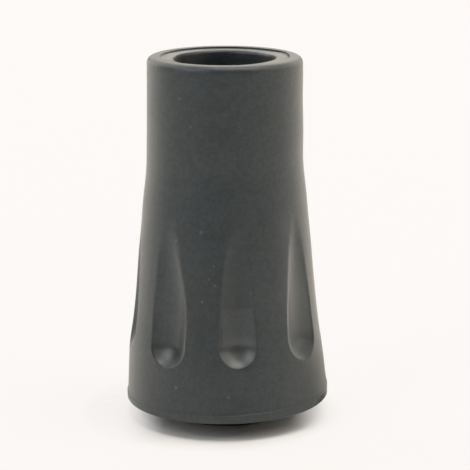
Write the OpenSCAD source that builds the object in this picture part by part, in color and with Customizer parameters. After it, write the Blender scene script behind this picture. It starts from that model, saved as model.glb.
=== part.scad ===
// Rubber tip for a walking cane or a trekking pole.
//
// The tip is one moulding in soft rubber. A straight collar grips the shaft,
// and below it a conical skirt widens to a thin band, the widest place.
// Ball-nosed flutes run down the skirt and leave stiff ribs between them.
// The socket is blind: a parallel grip under the mouth, then a slow taper
// down to a thick heel. A sole narrower than the band meets the ground, and
// ring grooves in it let water out.
//
// Millimetres. The origin is the middle of the sole, on the ground, and +Z
// points up the shaft.

/* [Overall] */
// Height from the ground to the rim
overall_h = 50; // [42:0.5:70]
// Diameter of the band round the base, the widest place
base_d = 28; // [25:0.5:36]

/* [Collar] */
// Outside diameter of the collar at the rim
collar_d = 20.95; // [19:0.05:24]
// Height of the straight collar, from the rim down to the flare
collar_h = 14.6; // [8:0.1:20]
// Draft on the wall of the collar, in degrees
collar_draft = 0.4; // [0:0.1:1.5]
// Radius that blends the collar into the skirt
flare_round = 35; // [5:1:60]
// Radius over the outer edge of the rim
rim_round = 0.9; // [0.2:0.1:1.2]

/* [Rim seat] */
// Width of the lip that stands round the seat
lip_w = 1.75; // [1.2:0.05:2.2]
// Radius on the inner edge of the lip
lip_round = 0.1; // [0.05:0.05:0.3]
// Depth of the shallow seat below the lip
seat_depth = 0.25; // [0.1:0.05:1]

/* [Socket] */
// Diameter of the socket where it grips the shaft
socket_d = 13.6; // [11:0.1:15]
// Length of the parallel grip, below the rounded mouth
grip_h = 12; // [6:0.5:18]
// Radius on the edge of the mouth
mouth_round = 0.45; // [0.1:0.05:0.8]
// Diameter of the socket at its blind end
socket_end_d = 11.4; // [9:0.1:13]
// Radius in the corner of the blind end
socket_end_round = 1.5; // [0.2:0.1:3]
// Thickness of the heel, from the ground to the blind end
heel_h = 12; // [6:0.5:16]

/* [Flutes] */
// Number of flutes round the skirt
flute_count = 8; // [3:1:12]
// Diameter of the ball-nosed cutter that shapes a flute
flute_d = 6.4; // [4:0.1:8]
// Distance from the flare down to where the flutes run out
flute_run_out = 7; // [3:0.1:12]
// Height of the centre of the ball at the lower end of a flute
flute_foot_h = 12.6; // [9:0.1:18]

/* [Base] */
// Height of the band
band_h = 1.2; // [0.6:0.1:3]
// How far the band stands proud of the skirt
band_proud = 0.13; // [0.05:0.01:0.5]
// Radius on the two edges of the band
band_round = 0.1; // [0.05:0.05:0.3]
// Diameter of the sole
sole_d = 16.5; // [14:0.5:24]
// Height of the sole, from the ground to the band
sole_h = 2.5; // [1.5:0.1:4]
// Radius on the ground edge of the sole
sole_round = 0.5; // [0.1:0.1:1]

/* [Tread] */
// Distance between ring grooves, and from the middle to the first
groove_pitch = 2.6; // [1.8:0.1:4]
// Width of a groove at the ground
groove_w = 1.2; // [0.6:0.1:1.6]
// Width of a groove at its floor
groove_floor_w = 0.7; // [0.3:0.1:1.6]
// Depth of a groove
groove_depth = 1.1; // [0.4:0.1:2]
// Least width of the land outside the last groove
edge_land = 1.4; // [1:0.1:4]

/* [Hidden] */

$fn = 96;
// Straight steps in each rounded corner
arc_steps = 8;
// How far a cutter reaches past the face that it cuts
overshoot = 1;

collar_r = collar_d / 2;
flare_z = overall_h - collar_h;
flare_r = collar_r + collar_h * tan(collar_draft);

band_r = base_d / 2;
band_z = sole_h + band_h;
skirt_foot_r = band_r - band_proud;

seat_r = collar_r - lip_w;
seat_z = overall_h - seat_depth;
socket_r = socket_d / 2;
socket_end_r = socket_end_d / 2;
grip_z = seat_z - mouth_round - grip_h;

flute_r = flute_d / 2;
flute_floor_r = skirt_r(flare_z - flute_run_out);

sole_r = sole_d / 2;
groove_count = floor((sole_r - edge_land - groove_w / 2) / groove_pitch);

// Radius of the skirt at height z, on a straight line from the flare to the band
function skirt_r(z) =
    flare_r + (skirt_foot_r - flare_r) * (flare_z - z) / (flare_z - band_z);

// Unit vector along v
function unit(v) = v / norm(v);

// Point on the unit arc from s to e, a share t of the way along its angle
function along_arc(s, e, t) =
    let (sweep = acos(s * e))
    (sin((1 - t) * sweep) * s + sin(t * sweep) * e) / sin(sweep);

// Corner b between a and c, rounded with radius r or left sharp where r is 0.
// The round takes at most half of the shorter side that meets the corner.
function rounded_corner(a, b, c, r) =
    let (
        to_a = unit(a - b),
        to_c = unit(c - b),
        half = acos(to_a * to_c) / 2,
        room = min(norm(a - b), norm(c - b)) / 2,
        reach = min(r / tan(half), room),
        radius = reach * tan(half),
        centre = b + unit(to_a + to_c) * radius / sin(half)
    )
    r == 0 ? [b] : [
        for (i = [0:arc_steps])
            centre + radius * along_arc(
                unit(b + to_a * reach - centre),
                unit(b + to_c * reach - centre),
                i / arc_steps)
    ];

// Outline through corners that are each [radius, height, rounding]
function rounded_outline(corners) =
    let (
        n = len(corners),
        flat = [for (c = corners) [c[0], c[1]]]
    )
    [
        for (i = [0:n - 1])
            each rounded_corner(flat[(i + n - 1) % n], flat[i],
                                flat[(i + 1) % n], corners[i][2])
    ];

// Half section of the tip, from the middle of the sole out, up and back in
section_corners = [
    [0, 0, 0],
    [sole_r, 0, sole_round],
    [sole_r, sole_h, 0],
    [band_r, sole_h, band_round],
    [band_r, band_z, band_round],
    [skirt_foot_r, band_z, 0],
    [flare_r, flare_z, flare_round],
    [collar_r, overall_h, rim_round],
    [seat_r, overall_h, lip_round],
    [seat_r, seat_z, 0],
    [socket_r, seat_z, mouth_round],
    [socket_r, grip_z, 0],
    [socket_end_r, heel_h, socket_end_round],
    [0, heel_h, 0]
];

// The turned form, with its rim, socket, band and sole
module body() {
    rotate_extrude() polygon(rounded_outline(section_corners));
}

// Cutter of one flute, upright, with its ball at the lower end. The quarter
// turn puts the seam of the cylinder along the floor of the flute.
module flute_cutter() {
    translate([0, -flute_floor_r - flute_r, flute_foot_h]) {
        sphere(r = flute_r);
        rotate(90) cylinder(r = flute_r, h = overall_h - flute_foot_h + overshoot);
    }
}

// Cutters of all the flutes, the first on the -Y side
module flutes() {
    for (i = [0:flute_count - 1])
        rotate(i * 360 / flute_count) flute_cutter();
}

// Cutter of one ring groove in the sole, at radius r, with sloping walls
module ring_groove(r) {
    rotate_extrude() translate([r, 0]) polygon([
        [-groove_w / 2, -overshoot],
        [groove_w / 2, -overshoot],
        [groove_w / 2, 0],
        [groove_floor_w / 2, groove_depth],
        [-groove_floor_w / 2, groove_depth],
        [-groove_w / 2, 0]
    ]);
}

// Cutters of the whole tread
module tread() {
    for (i = [1:groove_count])
        ring_groove(i * groove_pitch);
}

module rubber_tip() {
    color("#424646") difference() {
        body();
        flutes();
        tread();
    }
}

rubber_tip();
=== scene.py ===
# %% [markdown]
# # A moulded rubber tip for a cane
#
# The object is one piece of dark grey rubber: a straight collar that grips
# the shaft, a conical skirt with flutes, a thin band round the base and a
# narrower sole under it. There are no joints and no second material, so one
# mesh and one material are enough.
#
# The packed CAD model comes first. It fixes where everything is, so the new
# mesh is worked out in the same frame and needs no fitting.

# %% Load the frame
import math

import bpy
import numpy as np
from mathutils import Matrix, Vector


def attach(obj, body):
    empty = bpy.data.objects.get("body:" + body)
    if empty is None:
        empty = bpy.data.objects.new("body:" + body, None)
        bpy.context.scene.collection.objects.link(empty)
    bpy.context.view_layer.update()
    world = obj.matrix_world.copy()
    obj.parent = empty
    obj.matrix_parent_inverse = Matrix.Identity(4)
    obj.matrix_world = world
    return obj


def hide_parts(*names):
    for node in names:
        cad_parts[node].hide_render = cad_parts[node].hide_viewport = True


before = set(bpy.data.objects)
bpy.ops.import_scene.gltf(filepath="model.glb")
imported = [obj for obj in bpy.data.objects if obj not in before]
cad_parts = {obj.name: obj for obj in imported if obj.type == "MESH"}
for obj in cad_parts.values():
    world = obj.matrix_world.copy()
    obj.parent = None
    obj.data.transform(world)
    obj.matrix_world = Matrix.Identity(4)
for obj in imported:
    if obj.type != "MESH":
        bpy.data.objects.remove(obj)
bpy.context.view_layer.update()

# %% [markdown]
# ## The sizes
#
# All sizes are in millimetres, because that is how a mould is drawn. Blender
# works in metres, so a mesh is scaled once, when it is put into Blender. The
# skirt, the rim and the socket repeat the sizes of the CAD model.
#
# Angles round the axis start on the -Y side and grow towards +X. The side
# that is looked at lies a little to the left of -Y. It is called the front,
# and left and right are told from it.

# %% Sizes of the moulding
MM = 0.001
FRONT = math.radians(-7.8)

HEIGHT = 50.0
COLLAR_R = 10.475
COLLAR_FOOT_R = 10.577
FLARE_Z, FLARE_ROUND = 35.4, 35.0
RIM_ROUND, LIP_ROUND = 0.9, 0.1
SEAT_R, SEAT_Z, SEAT_ROUND = 8.725, 49.75, 0.06

SOCKET_R, MOUTH_ROUND = 6.8, 0.45
GRIP_Z, GRIP_ROUND = 37.3, 0.8
SOCKET_END_R, SOCKET_END_ROUND = 5.7, 1.5
HEEL_Z = 12.0

BAND_R, BAND_LOW_Z, BAND_TOP_Z, BAND_ROUND = 14.0, 2.5, 3.7, 0.1
SKIRT_FOOT_R, SKIRT_FOOT_ROUND = 13.87, 0.05
SOLE_R, SOLE_ROUND, SOLE_TOP_ROUND = 8.25, 0.5, 0.15

FLUTES = 8
CUTTER_R = 3.2
RUN_OUT_Z = FLARE_Z - 7.0

GROOVES = (2.6, 5.2)
GROOVE_HALF, GROOVE_FLOOR_HALF, GROOVE_DEPTH, GROOVE_ROUND = 0.6, 0.35, 1.1, 0.12


def skirt_radius(z):
    """Radius of the plain cone: it falls in a straight line from the band to the flare."""
    share = (z - BAND_TOP_Z) / (FLARE_Z - BAND_TOP_Z)
    return SKIRT_FOOT_R + (COLLAR_FOOT_R - SKIRT_FOOT_R) * share


CUTTER_AXIS_R = skirt_radius(RUN_OUT_Z) + CUTTER_R
print("flutes run out at", RUN_OUT_Z, "mm; cutter axis at", round(CUTTER_AXIS_R, 3), "mm")

# %% [markdown]
# ## The half section
#
# A turned form is one outline carried round an axis. The outline here is a
# short list of corners, each with its own round, from the middle of the sole
# out, up the outside and back down into the socket. A real mould has no sharp
# corner, so even the smallest edge gets a few points of arc.
#
# A Screw modifier would carry the outline round too. But later every point
# gets a radius of its own, so the whole grid is kept as arrays: a row for each
# point of the outline and a column for each angle. Where the flutes end, the
# rows lie close together, since a mesh can only show an edge as fine as the
# distance between its rows.

# %% Outline with rounded corners
ARC_STEPS = 6
MOST_OF_SIDE = 0.499


def rounded_corner(before, corner, after, radius):
    """Arc of the given radius that touches both sides of a corner.

    The arc starts as far from the corner as radius / tan(half the angle), and
    its centre lies on the line that halves the angle. It takes no more than
    half of the shorter side.
    """
    if radius == 0:
        return corner[None, :]
    back = (before - corner) / np.linalg.norm(before - corner)
    ahead = (after - corner) / np.linalg.norm(after - corner)
    half = math.acos(np.clip(back @ ahead, -1, 1)) / 2
    room = MOST_OF_SIDE * min(np.linalg.norm(before - corner), np.linalg.norm(after - corner))
    reach = min(radius / math.tan(half), room)
    middle = back + ahead
    centre = corner + middle / np.linalg.norm(middle) * reach / math.cos(half)
    start, end = corner + back * reach - centre, corner + ahead * reach - centre
    share = np.linspace(0, 1, ARC_STEPS + 1)[:, None]
    sweep = math.pi - 2 * half
    return centre + (np.sin((1 - share) * sweep) * start + np.sin(share * sweep) * end) / math.sin(sweep)


def outline(corners):
    """Points through corners of [radius, height, round], as an array of radius and height."""
    flat = np.array([c[:2] for c in corners], float)
    arcs = [
        rounded_corner(flat[max(i - 1, 0)], flat[i], flat[min(i + 1, len(flat) - 1)], c[2])
        for i, c in enumerate(corners)
    ]
    return np.concatenate(arcs)


def subdivided(points, longest):
    """The same outline with each straight step cut into equal parts no longer than asked."""
    step = np.diff(points, axis=0)
    parts = np.maximum(1, np.ceil(np.hypot(*step.T) / longest)).astype(int)
    owner = np.repeat(np.arange(len(parts)), parts)
    first = np.concatenate([[0], np.cumsum(parts)[:-1]])
    share = (np.arange(parts.sum()) - first[owner]) / parts[owner]
    return np.vstack([points[owner] + share[:, None] * step[owner], points[-1]])


unit_square = outline([[0, 0, 0], [1, 0, 0.2], [1, 1, 0.2], [0, 1, 0]])
print("a square with two rounded corners:", len(unit_square), "points")

# %% Half section of the tip
LONGEST_STEP = 0.9
SEAT_CORNER_R = 8.4

tread = [[0, 0, 0]]
for groove in GROOVES:
    tread += [
        [groove - GROOVE_HALF, 0, GROOVE_ROUND],
        [groove - GROOVE_FLOOR_HALF, GROOVE_DEPTH, GROOVE_ROUND],
        [groove + GROOVE_FLOOR_HALF, GROOVE_DEPTH, GROOVE_ROUND],
        [groove + GROOVE_HALF, 0, GROOVE_ROUND],
    ]

# Rows on the skirt: plain foot, lower ends of the flutes, their feet, their length, their tops
skirt_z = np.concatenate([
    np.arange(4.6, 9.0, 0.7),
    np.arange(9.1, 10.6, 0.1),
    np.arange(10.7, 13.2, 0.22),
    np.arange(13.4, 27.6, 0.42),
    np.arange(27.8, 31.0, 0.5),
])

section_corners = tread + [
    [SOLE_R, 0, SOLE_ROUND],
    [SOLE_R, BAND_LOW_Z, SOLE_TOP_ROUND],
    [BAND_R, BAND_LOW_Z, BAND_ROUND],
    [BAND_R, BAND_TOP_Z, BAND_ROUND],
    [SKIRT_FOOT_R, BAND_TOP_Z, SKIRT_FOOT_ROUND],
    *[[skirt_radius(z), z, 0] for z in skirt_z],
    [COLLAR_FOOT_R, FLARE_Z, FLARE_ROUND],
    [COLLAR_R, HEIGHT, RIM_ROUND],
    [SEAT_R, HEIGHT, LIP_ROUND],
    [SEAT_R, SEAT_Z, SEAT_ROUND],
    [SEAT_CORNER_R, SEAT_Z, 0],
    [SOCKET_R, SEAT_Z, MOUTH_ROUND],
    [SOCKET_R, GRIP_Z, GRIP_ROUND],
    [SOCKET_END_R, HEEL_Z, SOCKET_END_ROUND],
    [0, HEEL_Z, 0],
]
section = subdivided(outline(section_corners), LONGEST_STEP)
row_r, row_z = section.T
on_skirt = (row_r > COLLAR_R) & (row_z > BAND_TOP_Z)
print("half section:", len(section), "rows, of them", on_skirt.sum(), "on the skirt")

# %% [markdown]
# ## Saying where something holds
#
# Flutes, flaws and rubbed places each hold in one part of the surface only.
# Three small functions say where. Each gives a number from 0 to 1 for a whole
# array of points, so places are multiplied and shapes are added, and no loop
# runs over the points.


# %% Steps and humps
def smooth_step(low, high, x):
    """0 below low, 1 above high, and 3t^2 - 2t^3 between them."""
    t = np.clip((x - low) / (high - low), 0, 1)
    return t * t * (3 - 2 * t)


def smooth_fall(low, high, x):
    """1 below low and 0 above high: 1 less the smooth step."""
    return 1 - smooth_step(low, high, x)


def hump(x, middle, reach):
    """1 at the middle, falling on both sides: e to the minus ((x - middle) / reach)^2."""
    return np.exp(-(((x - middle) / reach) ** 2))


print("a step half way:", smooth_step(0, 1, 0.5), "a hump one reach away:", round(float(hump(1, 0, 1)), 3))

# %% [markdown]
# ## The flutes
#
# On the mould, each flute is cut by a ball-nosed cutter that moves straight
# down beside the cone. Seen from above, the cutter is a circle that bites
# into the round skirt, so the distance from the axis to the wall of a flute
# has a formula, and the skin is wherever the cone or that wall is nearer. A
# Boolean modifier could cut them too, but it leaves long thin faces and a
# razor edge, and so does a plain minimum of the two distances. A smooth
# minimum rounds the edge, as rubber does.
#
# The eight are meant to be alike, but the pins of a mould differ a little and
# soft rubber shrinks unevenly. So each flute has its own row of numbers: how
# high its foot is, how long its round end, how much wider it is than drawn
# and how glossy its foot has become, which also paints it paler as a painted
# highlight.

# %% Shape of each flute, the first at the front and then on to the right
FOOT_Z, END_HEIGHT, WIDER, LOST_LOW, GLOSS_AND_HIGHLIGHT, GLOSS_AND_HIGHLIGHT_TO_RIGHT = range(6)
FLUTE_SHAPES = np.array([
    # height of the foot's centre and of the round end, wider by, share of that lost at the
    # foot, gloss and painted highlight in the foot, and how much it gains for each radian to the right
    [12.85, 3.2, 0.0, 0.0, 1.15, -1.6],
    [13.3, 4.5, 1.3, 0.1, 0.1, 0.0],
    [12.9, 3.8, 0.6, 0.5, 0.5, 0.0],
    [12.9, 3.8, 0.6, 0.5, 0.5, 0.0],
    [12.9, 3.8, 0.6, 0.5, 0.5, 0.0],
    [12.9, 3.8, 0.6, 0.5, 0.5, 0.0],
    [13.2, 4.5, 1.3, 0.1, 0.5, 0.0],
    [12.2, 3.2, 1.5, 0.8, 0.45, -12.0],
])
FRONT_FLUTE, RIGHT_FLUTE, FAR_LEFT_FLUTE = 0, 1, 6
feet = FLUTE_SHAPES[:, FOOT_Z]
print("feet of the flutes: centres from", feet.min(), "to", feet.max(), "mm up")

# %% Cutter and wall of a flute
WIDENS_FROM_Z, WIDENS_TO_Z = 11.5, 18.0
MISSED_SLOPE = 4


def wider_by(z, shape):
    """How much wider than drawn the cutter is at height z: less and less towards the foot."""
    return shape[..., WIDER] * (1 - shape[..., LOST_LOW] * smooth_fall(WIDENS_FROM_Z, WIDENS_TO_Z, z))


def cutter_radius(z, shape):
    """Radius of the cutter's slice at height z: full above the foot's centre, less and less below it.

    The end of the cutter is half an ellipsoid, so its slice is the full
    radius times the root of 1 - (drop / height of the end)^2.
    """
    drop = np.clip((shape[..., FOOT_Z] - z) / shape[..., END_HEIGHT], 0, 1)
    return (CUTTER_R + wider_by(z, shape)) * np.sqrt(1 - drop**2)


def flute_wall(angle, z, shape):
    """Distance from the axis to the near wall of a flute.

    A ray at this angle meets a circle of the cutter's radius at its near side:
    axis distance times the cosine, less the root of what is left. A ray that
    misses the circle gets a wall that moves quickly out of the way.
    """
    axis_r = CUTTER_AXIS_R + wider_by(z, shape)
    inside = cutter_radius(z, shape) ** 2 - (axis_r * np.sin(angle)) ** 2
    near = axis_r * np.cos(angle) - np.sqrt(np.maximum(inside, 0))
    return np.where(inside > 0, near, near + MISSED_SLOPE * np.sqrt(np.maximum(-inside, 0)))


def edge_angle(radius, z, shape):
    """Half the angle that a flute takes up, by the cosine rule between the two circles."""
    axis_r = CUTTER_AXIS_R + wider_by(z, shape)
    cosine = (radius**2 + axis_r**2 - cutter_radius(z, shape) ** 2) / (2 * radius * axis_r)
    return np.arccos(np.clip(cosine, -1, 1))


def smooth_min(a, b, blend):
    """The smaller of two surfaces, rounded over where they differ by less than blend.

    Where they are equal, the round takes away a quarter of the blend.
    Returns the surface and how far each point is into the round, from 0 to 1.
    """
    near = np.clip(1 - np.abs(a - b) / blend, 0, 1)
    return np.minimum(a, b) - near**2 * blend / 4, near


front_shape = FLUTE_SHAPES[FRONT_FLUTE]
foot_half = edge_angle(skirt_radius(front_shape[FOOT_Z]), front_shape[FOOT_Z], front_shape)
print("the front flute takes up", round(2 * math.degrees(foot_half), 1), "degrees at its foot")

# %% [markdown]
# ## Columns that follow the edges
#
# The rows and columns of the grid are free to lie anywhere on the surface. If
# the columns were spread evenly, the edge of a flute would run across them
# and look like a saw. So the columns are gathered along both edges of each
# flute, a few inside it, a few over its edge and a few outside, and they
# spread out evenly again above and below the flutes.

# %% Angle of each column in each row
HALF_PITCH = math.pi / FLUTES
COLUMNS_IN_STRETCH = 6
LEAST_EDGE = math.radians(3.2)
EDGE_REACH, EDGE_REACH_SHARE = math.radians(1.3), 0.4
GATHERED_FROM_Z, SPREAD_FROM_Z = (6.5, 9.4), (RUN_OUT_Z, RUN_OUT_Z + 5)

gathered = smooth_step(*GATHERED_FROM_Z, row_z) * smooth_fall(*SPREAD_FROM_Z, row_z) * on_skirt
column_share = np.arange(3 * COLUMNS_IN_STRETCH) / COLUMNS_IN_STRETCH
stretch = column_share.astype(int)
along = column_share - stretch


def flute_columns(shape):
    """Angles from the middle of one flute, a row of them for each row of the section.

    Half a pitch has four knots: the middle, both sides of the edge and the
    border to the next flute. The columns lie evenly between two knots, and
    the other half is the same, mirrored.
    """
    true_edge = np.where(on_skirt, edge_angle(np.maximum(row_r, 1.0), row_z, shape), 0)
    edge = gathered * np.maximum(true_edge, LEAST_EDGE) + (1 - gathered) * HALF_PITCH / 2
    reach = np.minimum(EDGE_REACH, EDGE_REACH_SHARE * edge) * gathered + (1 - gathered) * HALF_PITCH / 6
    knots = np.stack([0 * edge, edge - reach, edge + reach, 0 * edge + HALF_PITCH], axis=1)
    half = knots[:, stretch] * (1 - along) + knots[:, stretch + 1] * along
    return np.concatenate([0 * edge[:, None] - HALF_PITCH, -half[:, :0:-1], half], axis=1)


from_flute = np.concatenate([flute_columns(shape) for shape in FLUTE_SHAPES], axis=1)
column_flute = np.repeat(np.arange(FLUTES), from_flute.shape[1] // FLUTES)
theta = from_flute + column_flute * 2 * HALF_PITCH
print("grid:", theta.shape[0], "rows by", theta.shape[1], "columns")

# %% Flutes that wander a little from their places, at the foot and at the top
WANDER_FOOT = np.radians([-0.3, 1.6, 0.4, -0.6, 0.5, -0.4, -1.8, 0.2])
WANDER_TOP = np.radians([-0.3, 1.6, -0.5, 0.6, -0.3, 0.8, -2.6, -2.6])
WANDER_FROM_Z, WANDER_RISE_Z, WANDER_TO_Z = (6.0, 9.0), (17.0, 27.0), (29.0, 34.0)
RIB_SHARE = (0.3, 0.7)

rise = smooth_step(*WANDER_RISE_Z, row_z)[:, None]
along_flutes = smooth_step(*WANDER_FROM_Z, row_z) * smooth_fall(*WANDER_TO_Z, row_z) * on_skirt
wander = (WANDER_FOOT * (1 - rise) + WANDER_TOP * rise) * along_flutes[:, None]
# Between two flutes the rib takes up the difference: counted in flutes, where each column lies
in_flutes = (np.arange(theta.shape[1]) / (theta.shape[1] / FLUTES) - 0.5) % FLUTES
here = in_flutes.astype(int) % FLUTES
following = (here + 1) % FLUTES
to_following = smooth_step(*RIB_SHARE, in_flutes - here)
theta = theta + wander[:, here] * (1 - to_following) + wander[:, following] * to_following
print("flutes wander by up to", round(math.degrees(np.abs(wander).max()), 1), "degrees")

# %% [markdown]
# ## What the mould and the years do to it
#
# A real moulding is never the perfect form. Soft rubber cools unevenly, so
# the skin is a little fuller than drawn and waves by a few hundredths of a
# millimetre. This one also bulges just above the base and leans a little to
# the right there, and its band is higher on that side, thicker, merged with
# the skirt, and torn in one place. The mouth of the socket isn't quite round.
#
# Each flaw could be pushed in by hand with a sculpting brush, but then it
# could be neither measured nor changed. Here each is a small smooth field
# that is added to the radius or to the height of the grid.

# %% The grid as drawn, with its flutes
EDGE_BLEND = 0.22
FLUTE_DEPTH, FLUTE_LEAST_Z = (0.05, 0.3), 9.0

z = row_z[:, None] + 0 * theta
plain_r = row_r[:, None] + 0 * theta
skirt = on_skirt[:, None]
around = (theta - FRONT + math.pi) % (2 * math.pi) - math.pi
to_right, to_front = np.sin(around), np.cos(around)

wall_r = flute_wall(from_flute, z, FLUTE_SHAPES[column_flute])
blended_r, blended = smooth_min(plain_r, wall_r, EDGE_BLEND)
skin_r = np.where(skirt, blended_r, plain_r)
in_round = np.where(skirt, blended, 0)
in_flute = smooth_step(*FLUTE_DEPTH, plain_r - skin_r) * skirt * (z > FLUTE_LEAST_Z)
print("flutes are up to", round(float((plain_r - skin_r).max()), 2), "mm deep")

# %% Skin: fuller than drawn, with waves and a bulge above the base
OUTSIDE_R = (9.6, 10.3)
FULLER_LOW, FULLER_HIGH, FULLER_RIM = 0.06, 0.13, 0.07
FULLER_HIGH_Z, FULLER_RIM_Z = (14.0, 28.0), (38.0, 45.0)
WAVE_SEED, WAVE_COUNT, WAVE_HEIGHT = 3, 14, 0.022
BULGE, BULGE_Z, BULGE_REACH = 0.13, 9.5, 3.8


def waves(angle, z, seed, count, amount):
    """Sum of sine waves round and along the tip, over the root of their count.

    Each is sin(turns * angle + a) * sin(pitch * z + b), with a whole number of
    turns, so that it closes on itself.
    """
    rng = np.random.default_rng(seed)
    total = np.zeros(np.broadcast(angle, z).shape)
    for _ in range(count):
        turns = rng.integers(1, 9)
        pitch = rng.uniform(0.15, 1.1)
        phase, other = rng.uniform(0, 2 * math.pi, 2)
        total += np.sin(turns * angle + phase) * np.sin(pitch * z + other)
    return amount * total / math.sqrt(count)


outside = smooth_step(*OUTSIDE_R, row_r)[:, None]
fuller = FULLER_LOW + (FULLER_HIGH - FULLER_LOW) * smooth_step(*FULLER_HIGH_Z, z)
fuller = fuller + (FULLER_RIM - FULLER_HIGH) * smooth_step(*FULLER_RIM_Z, z)
wavy = waves(theta, z, WAVE_SEED, WAVE_COUNT, WAVE_HEIGHT)
bulge = BULGE * hump(z, BULGE_Z, BULGE_REACH) * skirt
skin_r = skin_r + outside * (fuller + wavy + bulge)
print("waves up to", round(float(np.abs(wavy).max()), 3), "mm; bulge", BULGE, "mm")

# %% Band: merged with the skirt on the right, and torn there
MERGED_SLOPE, MERGED_SIDE, MERGED_LEAST_R, MERGED_TO_Z = 0.13, (0.25, 0.7), 13.0, 9.0
TEAR_AT, TEAR_REACH, TEAR_DEPTH = math.radians(68.0), math.radians(12.0), 0.08
RAGGED, RAGGED_TURNS, RAGGED_PITCH, SWING, SWING_TURNS = 0.35, 97, 7.3, 2, 41
TORN_TO_Z, TORN_LEAST_R = (BAND_LOW_Z + 0.5, BAND_TOP_Z - 0.1), 13.2
HAIR = 0.01

merged_from_z = BAND_TOP_Z - BAND_ROUND
near_band = (plain_r > MERGED_LEAST_R) & (z > merged_from_z - HAIR) & (z < MERGED_TO_Z)
merged_r = BAND_R - MERGED_SLOPE * (z - merged_from_z)
skin_r = skin_r + np.maximum(merged_r - skin_r, 0) * smooth_step(*MERGED_SIDE, to_right) * near_band

# The tear has no clean outline: waves round the tip meet slanting waves up it
slanting = np.sin(z * RAGGED_PITCH + SWING * np.sin(theta * SWING_TURNS))
ragged = 1 + RAGGED * np.sin(theta * RAGGED_TURNS) * slanting
on_band = smooth_fall(*TORN_TO_Z, z) * (plain_r > TORN_LEAST_R)
tear = hump(around, TEAR_AT, TEAR_REACH) * on_band * ragged
skin_r = skin_r - TEAR_DEPTH * tear
print("tear:", TEAR_DEPTH, "mm deep at", round(math.degrees(TEAR_AT)), "degrees to the right")

# %% Foot: lean of the base, tilt and slack of the band
LEAN, LEAN_TOP_Z = 0.29, 12.5
BAND_TILT, TILT_FULL_Z = math.tan(math.radians(1.2)), 2.4
BAND_SLACK, SLACK_REACH, SLACK_LEAST_R = 0.45, 0.9, 12.0
BAND_THICKER = 0.7

# The rows on the ground stay flat, and on the right more of the tilt goes into the band's top
low = smooth_fall(BAND_LOW_Z, LEAN_TOP_Z, z)
across = skin_r * to_right
thinner = 1 - BAND_THICKER * (across > 0) * smooth_fall(BAND_LOW_Z, BAND_TOP_Z, z)
skin_z = z + BAND_TILT * across * low * smooth_step(0.0, TILT_FULL_Z, z) * thinner
band_top = hump(z, BAND_TOP_Z, SLACK_REACH) * (plain_r > SLACK_LEAST_R)
to_left = 0.5 - 0.5 * to_right
skin_z = skin_z - BAND_SLACK * band_top * to_left**2
print("foot leans", LEAN, "mm; band rises", round(BAND_TILT * BAND_R, 2), "mm on the right")

# %% Mouth: tilted in front, in at the back right, out at the front left, and a cut in the lip
MOUTH_OUT_R, MOUTH_FROM_Z = (7.4, 8.4), (40.0, 46.0)
LIP_FROM_R, LIP_TO_R, LIP_LEAST_Z = (8.5, 8.7), (8.9, 9.4), 49.5
MOUTH_TILT, TILTED_FRONT = math.tan(math.radians(0.8)), (-0.6, -0.1)
MOUTH_IN, IN_AT, IN_REACH = 0.35, 2.3, 0.55
MOUTH_OUT, OUT_AT, OUT_REACH = 0.35, -0.35, 0.6
LIP_CUT, CUT_AT, CUT_REACH = 0.3, 2.05, 0.25

at_mouth = smooth_fall(*MOUTH_OUT_R, plain_r) * smooth_step(*MOUTH_FROM_Z, z)
at_lip = smooth_step(*LIP_FROM_R, plain_r) * smooth_fall(*LIP_TO_R, plain_r) * (z > LIP_LEAST_Z)
skin_z = skin_z + MOUTH_TILT * across * at_mouth * smooth_step(*TILTED_FRONT, to_front)
skin_r = skin_r - MOUTH_IN * at_mouth * hump(around, IN_AT, IN_REACH)
skin_r = skin_r + MOUTH_OUT * at_mouth * hump(around, OUT_AT, OUT_REACH)
skin_r = skin_r + LIP_CUT * at_lip * hump(around, CUT_AT, CUT_REACH)

# The lean shifts whole rows sideways, so it comes after all that changes a radius
x = skin_r * np.sin(theta) + LEAN * low * math.cos(FRONT)
y = -skin_r * np.cos(theta) + LEAN * low * math.sin(FRONT)
print("mouth: in", MOUTH_IN, "mm, out", MOUTH_OUT, "mm; lip cut", LIP_CUT, "mm")

# %% [markdown]
# ## What use does to the finish, and painted light and shade
#
# Rubber that is handled doesn't wear evenly. Where a flute was wiped or
# pressed, its foot is smoother and glossier, and its colour is painted paler:
# a painted highlight, which also runs up the flute on the right and lifts a
# shaded spot in the front flute. The flat seat of the rim and one rib are
# rubbed a little shiny. The band is darker where it is torn and on a patch
# low on its right, and painted shade darkens the skirt low on the right, the
# front of the seat, the wall of the mouth, the corner of the seat and the
# edges of the front flute. One flute has a paler pocket below a line across it.
#
# Such places could be painted on an image. Instead, each is a mask over the
# same grid, made from steps and humps, and it is kept on the vertices under a
# name. The material then only has to say what a mask does to the rubber.

# %% Feet of the flutes: how glossy, and where their highlight is painted
FOOT_FULL, FOOT_NONE = 1.5, 0.1
RIGHT_FOOT_Z, GLOSS_AND_HIGHLIGHT_MOST = (13.0, 16.0), 1.5
PALE_LEAST, PALE_MORE, PALE_TOP_Z = 0.1, 0.4, 25.0
PALE_FROM_Z, PALE_TO_Z, PALE_SIDE = (10.7, 11.8), (17.0, PALE_TOP_Z), (-0.12, 0.07)
POCKET_GLOSS_AND_HIGHLIGHT, POCKET_Z, POCKET_REACH = 0.4, 13.0, 0.8
FRONT_EDGE_Z = 9.8

foot_z, gloss, gloss_to_right = FLUTE_SHAPES[column_flute][:, [FOOT_Z, GLOSS_AND_HIGHLIGHT, GLOSS_AND_HIGHLIGHT_TO_RIGHT]].T
in_front_flute = in_flute * (column_flute == FRONT_FLUTE)
in_right_flute = in_flute * (column_flute == RIGHT_FLUTE)
in_foot = in_flute * smooth_fall(foot_z - FOOT_FULL, foot_z - FOOT_NONE, z)
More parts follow.
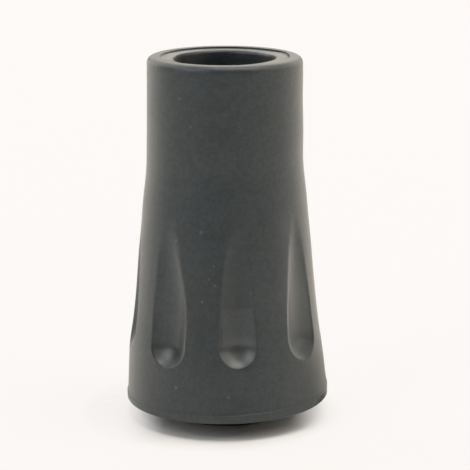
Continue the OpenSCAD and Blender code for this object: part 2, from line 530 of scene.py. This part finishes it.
# The gloss goes into the coat, and it also paints the foot paler: a painted highlight
foot_gloss_and_highlight = in_foot * np.clip(gloss + gloss_to_right * from_flute, 0, GLOSS_AND_HIGHLIGHT_MOST)
# In the flute on the right the foot reaches higher, and gloss with a painted
# highlight runs up its right-hand side
in_foot = np.maximum(in_foot, in_right_flute * smooth_fall(*RIGHT_FOOT_Z, z))
pale = smooth_step(*PALE_FROM_Z, z) * smooth_fall(*PALE_TO_Z, z) * smooth_step(*PALE_SIDE, from_flute)
foot_gloss_and_highlight = np.maximum.reduce([
    foot_gloss_and_highlight,
    (PALE_LEAST + PALE_MORE * pale) * in_right_flute * (z < PALE_TOP_Z),
    # a painted highlight, with some gloss, that lifts the shade just above the front flute's foot
    POCKET_GLOSS_AND_HIGHLIGHT * in_front_flute * hump(z, POCKET_Z, POCKET_REACH),
])
# Painted shade: a dark line along the edges of the front flute
front_edge_shade = in_round * (in_flute < 0.5) * (column_flute == FRONT_FLUTE) * (z > FRONT_EDGE_Z)
print("gloss of the feet: up to", round(float(foot_gloss_and_highlight.max()), 2))

# %% Rubbed places: the seat, the lip, one edge and one rib
SEAT_RUB, LIP_RUB_RIGHT, LIP_RUB_LEFT, EDGE_RUB, RIB_RUB = 0.5, 0.25, 0.1, 0.7, 0.3
RIGHT_FROM, RIGHT_TO, LEFT_FROM, LEFT_TO = (0.5, 0.95), (2.1, 2.5), (1.2, 1.5), (2.5, 3.0)
EDGE_FROM_Z, EDGE_TO_Z = (10.5, 12.0), (19.0, 22.0)
RIB_AT, RIB_REACH, RIB_FROM_Z, RIB_TO_Z = 0.76, 0.13, (14.0, 20.0), (28.0, 37.0)
RIM_FROM_Z, RIM_FROM_R, RIM_TO_R = (SEAT_Z - 0.08, SEAT_Z), SOCKET_R + 0.3, COLLAR_R - 0.3
SEAT_TO_R = SEAT_R - 0.02

on_rim = smooth_step(*RIM_FROM_Z, z) * (plain_r > RIM_FROM_R) * (plain_r < RIM_TO_R)
on_seat = on_rim * (plain_r < SEAT_TO_R)
right_side = smooth_step(*RIGHT_FROM, around) * smooth_fall(*RIGHT_TO, around)
left_side = smooth_step(*LEFT_FROM, -around) * smooth_fall(*LEFT_TO, -around)
on_edge = in_round * (column_flute == FAR_LEFT_FLUTE) * (from_flute > 0)
on_edge = on_edge * smooth_step(*EDGE_FROM_Z, z) * smooth_fall(*EDGE_TO_Z, z)
on_rib = hump(around, RIB_AT, RIB_REACH) * (1 - in_flute) * skirt
on_rib = on_rib * smooth_step(*RIB_FROM_Z, z) * smooth_fall(*RIB_TO_Z, z)
rubbed_lip = LIP_RUB_RIGHT * right_side + LIP_RUB_LEFT * left_side
rubbed_seat = SEAT_RUB * np.maximum(right_side, left_side)
rubbed = np.maximum.reduce([
    on_seat * rubbed_seat + (on_rim - on_seat) * rubbed_lip,
    EDGE_RUB * on_edge,
    RIB_RUB * on_rib,
])
print("rubbed: up to", round(float(rubbed.max()), 2))

# %% Darker places: painted shade low on the right, on the seat in front, on the mouth's wall, in the seat's corner; the band's tear and patch
LOW_SHADE, SEAT_SHADE, WALL_SHADE, CORNER_SHADE, BAND_PATCH_DARK, TEAR_DULL = 0.3, 0.2, 0.6, 0.5, 0.4, 0.8
LOW_RIGHT, LOW_FRONT, LOW_TO_Z = (0.6, 0.85), (-0.6, 0.1), (5.0, 13.0)
SEAT_TO_RIGHT, SEAT_TO_LEFT = (0.2, 0.6), (1.1, 1.35)
WALL_LEFT, WALL_RIGHT = (0.6, 0.9), (0.85, 0.97)
WALL_TO_R, WALL_FROM_Z = SOCKET_R + 0.2, (44.0, 47.0)
CORNER_AT, CORNER_REACH = 1.5, 0.5
CORNER_FROM_R, CORNER_TO_R, CORNER_FROM_Z = SEAT_CORNER_R + 0.05, SEAT_R + 0.05, SEAT_Z - 0.1
BAND_PATCH_AT, BAND_PATCH_REACH, BAND_PATCH_TO_Z, BAND_PATCH_LEAST_R = 1.05, 0.3, (3.3, 4.8), 13.0

# Painted shade: low on the right the skirt is darker and loses its sheen
low_right = smooth_step(*LOW_RIGHT, to_right) * smooth_step(*LOW_FRONT, to_front)
low_right = low_right * smooth_fall(*LOW_TO_Z, z) * skirt
# Painted shade on the seat's front, on the wall just inside the mouth and in the seat's corner
seat_front = on_seat * smooth_fall(*SEAT_TO_RIGHT, around) * smooth_fall(*SEAT_TO_LEFT, -around)
mouth_sides = np.maximum(smooth_step(*WALL_LEFT, -to_right), smooth_step(*WALL_RIGHT, to_right))
mouth_wall = mouth_sides * (plain_r < WALL_TO_R) * smooth_step(*WALL_FROM_Z, z)
in_corner = (plain_r > CORNER_FROM_R) & (plain_r < CORNER_TO_R) & (z > CORNER_FROM_Z)
seat_corner = hump(around, CORNER_AT, CORNER_REACH) * in_corner
# A darker patch low on the band's right, with the tear's ragged outline
band_patch = ragged * hump(around, BAND_PATCH_AT, BAND_PATCH_REACH)
band_patch = band_patch * smooth_fall(*BAND_PATCH_TO_Z, z) * (plain_r > BAND_PATCH_LEAST_R)
# Only the tear is torn and the band's patch is only darker; the rest is painted shade
torn_and_shaded = np.maximum.reduce([
    TEAR_DULL * tear, LOW_SHADE * low_right, SEAT_SHADE * seat_front,
    WALL_SHADE * mouth_wall, CORNER_SHADE * seat_corner, BAND_PATCH_DARK * band_patch,
])
print("torn or dull: up to", round(float(torn_and_shaded.max()), 2))

# %% [markdown]
# ## From arrays to a mesh
#
# The grid is closed round the axis, and each of its two ends shrinks to one
# point: the middle of the sole and the middle of the blind end of the socket.
# Faces are listed so that they point outwards. They could be added one by one,
# but Blender also takes all points and faces in one call, which is far
# quicker.
#
# The masks go along as attributes, one number for each vertex: the rounds of
# the edges, what is torn or darkened by painted shade, the flutes, their feet
# and the gloss and painted highlight of these, the front flute with the
# painted shade along its edge, and what is rubbed.


# %% Grid to mesh
def grid_faces(rows, columns):
    """Quads of a grid whose last column joins its first, plus a fan of triangles at each end."""
    i, j = np.meshgrid(np.arange(rows - 1), np.arange(columns), indexing="ij")
    k = (j + 1) % columns
    here, above = i * columns, (i + 1) * columns
    quads = np.stack([here + j, here + k, above + k, above + j], axis=-1)
    ring = np.arange(columns)
    following = (ring + 1) % columns
    last = (rows - 1) * columns
    first_pole, last_pole = rows * columns, rows * columns + 1
    bottom = np.stack([0 * ring + first_pole, following, ring], axis=-1)
    top = np.stack([0 * ring + last_pole, last + ring, last + following], axis=-1)
    return quads.reshape(-1, 4), np.concatenate([bottom, top])


def mesh_object(name, points, quads, triangles):
    """A smooth mesh object from arrays of points in millimetres and faces."""
    mesh = bpy.data.meshes.new(name)
    mesh.from_pydata((points * MM).tolist(), [], quads.tolist() + triangles.tolist())
    mesh.shade_smooth()
    mesh.validate()
    made = bpy.data.objects.new(name, mesh)
    bpy.context.scene.collection.objects.link(made)
    return made


def keep_on_points(piece, name, values):
    """Stores one number for each vertex, under a name that a material can read."""
    attribute = piece.data.attributes.new(name, "FLOAT", "POINT")
    attribute.data.foreach_set("value", np.ascontiguousarray(values, np.float32))


print("a grid of 3 rows and 4 columns:", [len(faces) for faces in grid_faces(3, 4)], "quads and triangles")

# %% The moulding
# The first and the last row have no radius, so one point stands for each
inner_rows = slice(1, -1)
grid = np.stack([x, y, skin_z], axis=-1)[inner_rows]
poles = np.array([[x[0].mean(), y[0].mean(), row_z[0]], [0, 0, row_z[-1]]])
points = np.concatenate([grid.reshape(-1, 3), poles])
moulding = mesh_object("moulded_tip", points, *grid_faces(*grid.shape[:2]))

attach(moulding, "root")
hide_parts("rubber_tip")
print("moulding:", len(moulding.data.vertices), "points,", len(moulding.data.polygons), "faces")

# %% Masks kept on its points
TURNED_EDGES = [
    # radius, height and reach of the band's two edges and of the rim's
    (BAND_R, BAND_TOP_Z, 0.5),
    (BAND_R, BAND_LOW_Z, 0.4),
    (COLLAR_R - 0.3, HEIGHT - 0.3, 0.9),
]

near_edges = [hump(row_r, r, reach) * hump(row_z, h, reach) for r, h, reach in TURNED_EDGES]
turned_edges = np.maximum.reduce(near_edges)

masks = {
    "edge_round": np.maximum(in_round, turned_edges[:, None]),
    # torn: the tear and the band's patch, and painted shade on the skirt, the seat and in the mouth
    "torn": torn_and_shaded,
    "in_flute": in_flute,
    "in_foot": in_foot,
    "foot_gloss_and_highlight": foot_gloss_and_highlight,
    "in_front": in_front_flute,
    "front_edge_shade": front_edge_shade,
    "rubbed": rubbed,
}
# The two single points at the ends get 0
for name, values in masks.items():
    keep_on_points(moulding, name, np.append(values[inner_rows].ravel(), [0, 0]))
print("masks:", ", ".join(masks))

# %% [markdown]
# ## Shader maths as plain expressions
#
# A node tree is easier to read as a formula. The class below wraps a socket
# and gives it the signs of arithmetic, so that 1 - mask * 0.3 adds the Math
# nodes by itself. Everything else goes through one method that takes a node's
# type, its settings and its inputs.


# %% A socket with arithmetic
class Value:
    """A shader socket that can be used in a Python expression."""

    def __init__(self, recipe, socket):
        self.recipe, self.socket = recipe, socket

    def math(self, operation, *others):
        """A Math node of this value and the others, in that order."""
        inputs = dict(enumerate((self, *others)))
        return self.recipe.node("ShaderNodeMath", {"operation": operation}, inputs)

    def __add__(self, other):
        return self.math("ADD", other)

    def __sub__(self, other):
        return self.math("SUBTRACT", other)

    def __rsub__(self, other):
        return self.recipe.node("ShaderNodeMath", {"operation": "SUBTRACT"}, {0: other, 1: self})

    def __mul__(self, other):
        return self.math("MULTIPLY", other)

    __radd__ = __add__
    __rmul__ = __mul__

    def clamp(self):
        """The value held between 0 and 1."""
        return self.math("MINIMUM", 1.0).math("MAXIMUM", 0.0)


print("signs that a socket knows:", "+", "-", "*")

# %% A recipe: one node tree
# Sockets of a Mix node that mixes colours, by their place in its lists
MIX_FACTOR, MIX_FIRST_COLOUR, MIX_SECOND_COLOUR, MIX_COLOUR = 0, 6, 7, 2


class Recipe:
    """The node tree of a material or a world, with short ways to add and join nodes."""

    def __init__(self, owner):
        self.owner = owner
        owner.use_nodes = True
        self.nodes, self.links = owner.node_tree.nodes, owner.node_tree.links
        self.nodes.clear()

    def node(self, kind, settings=None, inputs=None, output=0):
        """A node of this kind, with its settings, then its inputs, and one of its outputs."""
        made = self.nodes.new(kind)
        for key, value in (settings or {}).items():
            setattr(made, key, value)
        for key, value in (inputs or {}).items():
            if isinstance(value, Value):
                self.links.new(value.socket, made.inputs[key])
            else:
                made.inputs[key].default_value = value
        return Value(self, made.outputs[output])

    def vector_math(self, operation, first, second, output="Vector"):
        """A Vector Math node of two vectors."""
        return self.node("ShaderNodeVectorMath", {"operation": operation}, {0: first, 1: second}, output)

    def place(self, scale=1.0, squash=(1, 1, 1)):
        """Object coordinates in millimetres, times a scale that may differ along each axis."""
        coordinates = self.node("ShaderNodeTexCoord", output="Object")
        return self.vector_math("MULTIPLY", coordinates, tuple(scale * s / MM for s in squash))

    def noise(self, size, detail=2.0, roughness=0.5, offset=0.0):
        """Smooth random values from 0 to 1 whose blobs are about size millimetres wide."""
        where = self.vector_math("ADD", self.place(1 / size), (offset,) * 3)
        return self.node("ShaderNodeTexNoise", {"noise_dimensions": "3D"},
                         {"Vector": where, "Scale": 1.0, "Detail": detail, "Roughness": roughness})

    def attribute(self, name):
        """The number that the mesh keeps on its points under this name."""
        return self.node("ShaderNodeAttribute", {"attribute_name": name}, output="Fac")

    def mix(self, share, first, second):
        """From the first colour to the second by share."""
        inputs = {MIX_FACTOR: share, MIX_FIRST_COLOUR: first, MIX_SECOND_COLOUR: second}
        return self.node("ShaderNodeMix", {"data_type": "RGBA"}, inputs, MIX_COLOUR)

    def between(self, value, low, high):
        """0 where the value is below low, 1 above high, smooth between."""
        return self.node("ShaderNodeMapRange", {"interpolation_type": "SMOOTHSTEP"},
                         {"Value": value, "From Min": low, "From Max": high})

    def finish(self, shader, output="ShaderNodeOutputMaterial"):
        """Joins the shader to the tree's output and hands back the material or world."""
        made = self.nodes.new(output)
        self.links.new(shader.socket, made.inputs["Surface"])
        return self.owner


print("a recipe can:", ", ".join(word for word in vars(Recipe) if not word.startswith("_")))


# %% Colours
def linear(red, green, blue):
    """A colour as a screen names it, from 0 to 255, turned into the linear light that shaders use.

    Each channel is divided by 12.92 where it is low, and elsewhere it is
    ((c + 0.055) / 1.055) to the power of 2.4.
    """
    channels = np.array([red, green, blue]) / 255
    light = np.where(channels <= 0.04045, channels / 12.92, ((channels + 0.055) / 1.055) ** 2.4)
    return (*light.tolist(), 1.0)


print("middle grey in linear light:", round(linear(128, 128, 128)[0], 3))

# %% [markdown]
# ## The rubber
#
# Moulded rubber is a dark grey that leans to blue and green, and it is matt:
# its skin copies the blasted steel of the mould. Close up it is mottled and
# finely grained, with light specks of chalk and dust here and there. A noise
# could be used as it is, but one size of blob looks like cloth. So four sizes
# are added up, from clouds of several millimetres to the grain itself.
#
# Where the rubber is rubbed, it goes a little shinier. On the feet of the
# flutes and along rounded edges its colour is paler, which is a painted
# highlight. Where it is torn, and on a patch of the band, it goes darker and
# rougher, which a second, rougher shader does. The same shader is painted
# shade inside the mouth, in the seat's corner, on the seat's front and low
# on the right, and the same dark colour paints a line of shade along the
# front flute's edges. Fine grain is bump only, since it is far smaller than a
# face of the mesh.

# %% Colours of the rubber
DARK, LIGHT = (32, 42, 45), (44, 54, 57)
# A pale grey for painted highlights, a chalk white, and a near black for torn rubber and painted shade
PAINTED_HIGHLIGHT, CHALKY, TORN_AND_SHADE = (104, 106, 103), (112, 116, 114), (24, 25, 24)
TONE_OF_CLOUD, TONE_OF_MOTTLE, TONE_OF_PATCHES, TONE_OF_GRAIN = 0.9, 2.1, 2.9, 3.3
POCKET_TOP_Z, POCKET_LINE = 17.7, 0.15
DARKER_ABOVE, PALER_BELOW = 0.35, 0.2
# How strong the painted shade on the front flute's edges is, and the painted highlights on rounded edges and
# glossy feet
FRONT_EDGE_SHADE, PAINTED_EDGE_HIGHLIGHT, PAINTED_GLOSS_HIGHLIGHT = 0.7, 0.03, 0.4

rubber = Recipe(bpy.data.materials.new("matt_grey_rubber"))
cloud = rubber.noise(7.0, detail=1.0, offset=7.0)
mottle = rubber.noise(2.0, detail=3.0)
patches = rubber.noise(0.75, detail=2.0, offset=5.0)
grain = rubber.noise(0.32, detail=2.0, roughness=0.6)
tone = (cloud - 0.5) * TONE_OF_CLOUD + (mottle - 0.5) * TONE_OF_MOTTLE
tone = tone + (patches - 0.5) * TONE_OF_PATCHES + (grain - 0.5) * TONE_OF_GRAIN + 0.5

flute_mask, foot_mask = rubber.attribute("in_flute"), rubber.attribute("in_foot")
front_mask, gloss_and_highlight_mask = rubber.attribute("in_front"), rubber.attribute("foot_gloss_and_highlight")
up = rubber.node("ShaderNodeSeparateXYZ", None, {0: rubber.place()}, "Z")
above_line = rubber.between(up, POCKET_TOP_Z, POCKET_TOP_Z + POCKET_LINE)
above_pocket = front_mask * above_line
in_pocket = (front_mask * (1 - above_line) - foot_mask).clamp()

tone = tone - above_pocket * DARKER_ABOVE + in_pocket * PALER_BELOW
# Painted shade: a dark line along the front flute's edges, below its line
edge_shade = rubber.attribute("front_edge_shade") * (1 - above_line) * FRONT_EDGE_SHADE
colour = rubber.mix(tone.clamp(), linear(*DARK), linear(*LIGHT))
colour = rubber.mix(edge_shade, colour, linear(*TORN_AND_SHADE))
# Painted highlights: rounded edges and the glossy feet go paler
colour = rubber.mix(rubber.attribute("edge_round") * PAINTED_EDGE_HIGHLIGHT, colour, linear(*PAINTED_HIGHLIGHT))
colour = rubber.mix(gloss_and_highlight_mask * PAINTED_GLOSS_HIGHLIGHT, colour, linear(*PAINTED_HIGHLIGHT))
print("rubber: four sizes of mottle between", DARK, "and", LIGHT)

# %% [markdown]
# ## Chalk and dust
#
# Rubber is dusted with chalk so that it leaves the mould, and some of it
# stays. Fine dust lies everywhere, so a foam of random cells with a dot in
# some of them does for it. The few large specks are what the eye notices.
# They have places of their own, listed one by one on the side that is seen.


# %% Dots and specks
def dots(recipe, cell, size, share, offset):
    """Round dots of a given size, one in each of a share of the cells of a random foam.

    A dot is 1 within half its size from its middle and 0 beyond its size.
    """
    where = recipe.vector_math("ADD", recipe.place(1 / cell), (offset,) * 3)
    settings = {"voronoi_dimensions": "3D", "feature": "F1"}
    foam = ("ShaderNodeTexVoronoi", settings, {"Vector": where, "Scale": 1.0})
    distance = recipe.node(*foam, "Distance")
    choice = recipe.node("ShaderNodeSeparateColor", None, {"Color": recipe.node(*foam, "Color")})
    chosen = choice.math("GREATER_THAN", 1 - share)
    return (1 - recipe.between(distance, 0.5 * size / cell, size / cell)) * chosen


def specks(recipe, places):
    """Single specks, each at its own angle round the axis and height, with its own size.

    A speck is 1 within 0.4 of its size from its middle and 0 beyond its size.
    """
    everywhere = recipe.place()
    total = 0.0
    for angle, height, size in places:
        radius = min(max(skirt_radius(height), COLLAR_R), SKIRT_FOOT_R)
        spot = (radius * math.sin(math.radians(angle)), -radius * math.cos(math.radians(angle)), height)
        distance = recipe.vector_math("DISTANCE", everywhere, spot, "Value")
        total = (1 - recipe.between(distance, 0.4 * size, size)) + total
    return total


print("a speck half way up sits", round(skirt_radius(HEIGHT / 2), 2), "mm from the axis")

# %% Chalk on the rubber
SPECKS = [
    # degrees round the axis, height, size
    (-42, 45.6, 0.30), (-33, 42.0, 0.28), (2, 42.1, 0.22), (44, 38.6, 0.22), (-15, 37.4, 0.22),
    (-24, 28.1, 0.34), (-42, 26.6, 0.26), (-1, 24.6, 0.26), (-15, 23.7, 0.24), (-18, 21.9, 0.22),
    (-14, 21.1, 0.24), (8, 20.0, 0.24), (-22, 18.8, 0.26), (5, 12.1, 0.26), (-16, 11.2, 0.24),
    (13, 9.5, 0.30), (-37, 6.9, 0.34), (-6, 6.1, 0.28),
]
FINE_COVERS, COARSE_COVERS, SPECKS_COVER = 0.3, 0.5, 0.38

fine_dust = dots(rubber, cell=1.5, size=0.11, share=0.4, offset=0.0)
coarse_dust = dots(rubber, cell=5.0, size=0.2, share=0.2, offset=3.7)
dust = fine_dust * FINE_COVERS + coarse_dust * COARSE_COVERS
chalk = (dust + specks(rubber, SPECKS) * SPECKS_COVER).clamp()
colour = rubber.mix(chalk, colour, linear(*CHALKY))
print("chalk:", len(SPECKS), "single specks and two sizes of dust")

# %% [markdown]
# ## Grain, sheen and gloss
#
# Seen at a low angle, matt rubber turns pale, because its fine grain catches
# the light. Sheen does the same in a shader. Rubbed places get a thin coat,
# which gives them a soft highlight of their own over the matt body.

# %% The finished rubber
GRAIN_DEPTH, GRAIN_STRENGTH = 0.05, 0.5
BUMP_OF_GRAIN, BUMP_OF_PATCHES, BUMP_OF_MOTTLE, BUMP_OF_CHALK = 0.6, 0.9, 0.6, 0.5
ROUGH, ROUGH_BY_MOTTLE, ROUGH_BY_GRAIN = 0.45, 0.12, 0.1
SMOOTHER_FLUTES, ROUGHER_TORN_AND_SHADE = 0.13, 0.2
TORN_AND_SHADE_SCALE, TORN_AND_SHADE_MOST = 1.2, 0.85

# This mask also holds painted shade, for which the darker, rougher rubber stands
torn_and_shade_mask = rubber.attribute("torn").clamp()
height = grain * BUMP_OF_GRAIN + patches * BUMP_OF_PATCHES + mottle * BUMP_OF_MOTTLE + chalk * BUMP_OF_CHALK
bump = rubber.node("ShaderNodeBump", None, {
    "Strength": GRAIN_STRENGTH, "Distance": GRAIN_DEPTH * MM, "Height": height})
smooth_flutes = flute_mask - foot_mask - above_pocket
roughness = ROUGH + (mottle - 0.5) * ROUGH_BY_MOTTLE + (grain - 0.5) * ROUGH_BY_GRAIN
roughness = roughness - smooth_flutes * SMOOTHER_FLUTES + torn_and_shade_mask * ROUGHER_TORN_AND_SHADE
matt_rubber = rubber.node("ShaderNodeBsdfPrincipled", None, {
    "Base Color": colour, "Roughness": roughness.clamp(), "Normal": bump,
    "Specular IOR Level": 0.65, "IOR": 1.5,
    "Sheen Weight": 0.4, "Sheen Roughness": 0.46, "Sheen Tint": (1.0, 0.955, 0.85, 1),
    "Coat Weight": (gloss_and_highlight_mask * 0.8 + rubber.attribute("rubbed")).clamp(),
    "Coat Roughness": 0.45, "Coat IOR": 1.5})
# Dark rough rubber for the tear and the band's patch, and as painted shade elsewhere in that mask
torn_and_shade_rubber = rubber.node("ShaderNodeBsdfPrincipled", None, {
    "Base Color": linear(*TORN_AND_SHADE), "Roughness": 0.9, "Normal": bump, "Specular IOR Level": 0.2})
torn_and_shade_share = (torn_and_shade_mask * TORN_AND_SHADE_SCALE).clamp() * TORN_AND_SHADE_MOST
worn_and_shaded_rubber = rubber.node("ShaderNodeMixShader", None, {0: torn_and_shade_share, 1: matt_rubber, 2: torn_and_shade_rubber})
moulding.data.materials.append(rubber.finish(worn_and_shaded_rubber))
for cad_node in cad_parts.values():
    cad_node.data.materials.clear()
    cad_node.data.materials.append(rubber.owner)
print("rubber:", len(rubber.nodes), "nodes")

# %% [markdown]
# ## Floor and backdrop
#
# The tip stands on a plain pale sweep of paper in a white tent. The camera
# looks down, so the floor is the backdrop too.
#
# The background should be white, and more light on the floor would spoil the
# object's own tones. So the floor keeps its plain shade and the object's
# shadow close to the tip, and further out it shows a white of its own, which
# only the camera sees. The world behind it does the same. Beside the tip that
# white reaches in over the sides of the shadow and lightens them, which is
# painted light.

# %% Floor
FLOOR_HALF = 3.0
PAPER, PAPER_WHITE = linear(243, 240, 237), linear(251, 247, 245)
SHADOW_MIDDLE, SHADOW_FROM, SHADOW_TO = (-2.0, -0.5, 0), 13.3, 18.6
SIDE_MIDDLE, SIDE_FROM, SIDE_TO, SIDE_SHARE = 0.4, 8.2, 14.8, 0.85
OWN_WHITE, FAR_FROM, FAR_TO = 0.9, 600.0, 1200.0

floor_mesh = bpy.data.meshes.new("floor")
corners = np.array([[-1, -1, 0], [1, -1, 0], [1, 1, 0], [-1, 1, 0]]) * FLOOR_HALF
floor_mesh.from_pydata(corners.tolist(), [], [(0, 1, 2, 3)])
floor = bpy.data.objects.new("floor", floor_mesh)
bpy.context.scene.collection.objects.link(floor)

paper = Recipe(bpy.data.materials.new("white_paper_sweep"))
plain_paper = paper.node("ShaderNodeBsdfPrincipled", None, {
    "Base Color": PAPER, "Roughness": 0.9, "Specular IOR Level": 0.1})
lit_paper = paper.node("ShaderNodeEmission", None, {"Color": PAPER_WHITE, "Strength": 1.0})
on_floor = paper.place(squash=(1, 1, 0))
from_shadow = paper.vector_math("DISTANCE", on_floor, SHADOW_MIDDLE, "Value")
rightwards = paper.vector_math("DOT_PRODUCT", on_floor, (math.cos(FRONT), math.sin(FRONT), 0), "Value")
to_side = (rightwards - SIDE_MIDDLE).math("ABSOLUTE")
# Painted light: beside the tip the floor's own white reaches into the shadow and lightens its sides
past_side = paper.between(to_side, SIDE_FROM, SIDE_TO) * SIDE_SHARE
past_shadow = paper.between(from_shadow, SHADOW_FROM, SHADOW_TO).math("MAXIMUM", past_side)
own_share = paper.between(from_shadow, FAR_FROM, FAR_TO) * (1 - OWN_WHITE) + OWN_WHITE
to_camera = paper.node("ShaderNodeLightPath", output="Is Camera Ray")
seen_paper = paper.node("ShaderNodeMixShader", None, {
    0: past_shadow * own_share * to_camera, 1: plain_paper, 2: lit_paper})
floor_mesh.materials.append(paper.finish(seen_paper))
print("floor:", 2 * FLOOR_HALF, "m square")

# %% World: white to the camera and dark to everything else
tent = Recipe(bpy.data.worlds.new("white_tent"))
camera_only = tent.node("ShaderNodeLightPath", output="Is Camera Ray")
backdrop = tent.node("ShaderNodeBackground", None, {"Color": PAPER_WHITE, "Strength": camera_only})
bpy.context.scene.world = tent.finish(backdrop, "ShaderNodeOutputWorld")
print("world:", bpy.context.scene.world.name)

# %% [markdown]
# ## Light
#
# In a tent the light is large and soft: most of it comes from above, some
# from the sides and from behind, and little from the side of the camera, so
# the middle of the front stays darker than its edges. An image of such a tent
# on the world would be the usual way. Rectangular lamps in a ring do the same
# with a few numbers, and each can be set by itself. All are a metre from the
# middle of the tip, and the light from the left is a little cooler.


# %% Soft boxes
def soft_box(name, place, aim, width, height, watts, colour):
    """A rectangular lamp at a place in metres, turned to face a point."""
    lamp = bpy.data.lights.new(name, "AREA")
    lamp.shape, lamp.size, lamp.size_y = "RECTANGLE", width, height
    lamp.energy, lamp.color = watts, colour
    made = bpy.data.objects.new(name, lamp)
    made.location = place
    way = Vector(aim) - Vector(place)
    made.rotation_euler = way.to_track_quat("-Z", "Y").to_euler()
    bpy.context.scene.collection.objects.link(made)
    return made


MIDDLE, LEVEL = Vector((0, 0, 0.025)), 0.96
COOL, PLAIN, WARM = (0.95, 0.98, 1), (1, 0.985, 0.965), (1, 0.95, 0.87)
HIGH, SIDE, LOW = (0.53, 0.42), (0.685, 0.36), (0.745, 0.22)
SOFT_BOXES = [
    # name, degrees from the front, degrees up, size in metres, brightness, tint
    ("zenith", 0, 89.9, (0.36, 0.36), 7.7, PLAIN),
    ("overhead_right", 90, 68, (0.4, 0.4), 6.2, WARM),
    ("high_right", 60, 45, HIGH, 1.8, WARM),
    ("high_back", 180, 45, HIGH, 2.1, WARM),
    ("high_back_left", 240, 45, HIGH, 2.5, PLAIN),
    ("high_left", 300, 45, HIGH, 3.05, COOL),
    ("right", 90, 24, SIDE, 2.1, WARM),
    ("back_right", 135, 24, SIDE, 2.6, WARM),
    ("back", 180, 24, SIDE, 2.1, WARM),
    ("back_left", 225, 24, SIDE, 1.6, PLAIN),
    ("front_left", 305, 24, SIDE, 2.05, COOL),
    ("low_front_right", 45, 6.5, LOW, 0.6, PLAIN),
    ("low_back_right", 135, 6.5, LOW, 1.3, WARM),
    ("low_back_left", 225, 6.5, LOW, 2.2, WARM),
]
for name, from_front, degrees_up, (width, height), brightness, tint in SOFT_BOXES:
    a, e = math.radians(from_front) + FRONT, math.radians(degrees_up)
    way = Vector((math.sin(a) * math.cos(e), -math.cos(a) * math.cos(e), math.sin(e)))
    # A lamp of this power and area shines with brightness watts / (pi * area) in every direction
    watts = LEVEL * math.pi * width * height * brightness
    soft_box(name, MIDDLE + way, MIDDLE, width, height, watts, tint)
print("lights:", len(SOFT_BOXES), "soft boxes, each", round(way.length, 3), "m from the middle")

# %% [markdown]
# ## Camera
#
# A tip of 50 mm fills the picture from 25 cm away through a long lens, which
# keeps its sides nearly parallel. The camera looks down by 14 degrees, enough
# to see into the mouth.

# %% Camera
CAMERA_DISTANCE, CAMERA_HEIGHT = 0.2497, 0.0863
CAMERA_PITCH, CAMERA_YAW = math.radians(13.778), math.radians(0.313)
FOCAL_PIXELS, FRAME_PIXELS, SENSOR = 1861, 470, 36.0

camera_data = bpy.data.cameras.new("camera")
camera_data.sensor_width = SENSOR
camera_data.lens = SENSOR * FOCAL_PIXELS / FRAME_PIXELS
camera_data.clip_start, camera_data.clip_end = 0.01, 20
camera = bpy.data.objects.new("camera", camera_data)
bpy.context.scene.collection.objects.link(camera)
camera.location = (CAMERA_DISTANCE * math.sin(FRONT), -CAMERA_DISTANCE * math.cos(FRONT), CAMERA_HEIGHT)
camera.rotation_euler = (math.pi / 2 - CAMERA_PITCH, 0, FRONT - CAMERA_YAW)
bpy.context.scene.camera = camera
bpy.context.scene.view_settings.view_transform = "Standard"
print("camera:", round(camera_data.lens, 1), "mm lens,", round(math.degrees(CAMERA_PITCH), 1), "degrees down")

# %% [markdown]
# ## The end
#
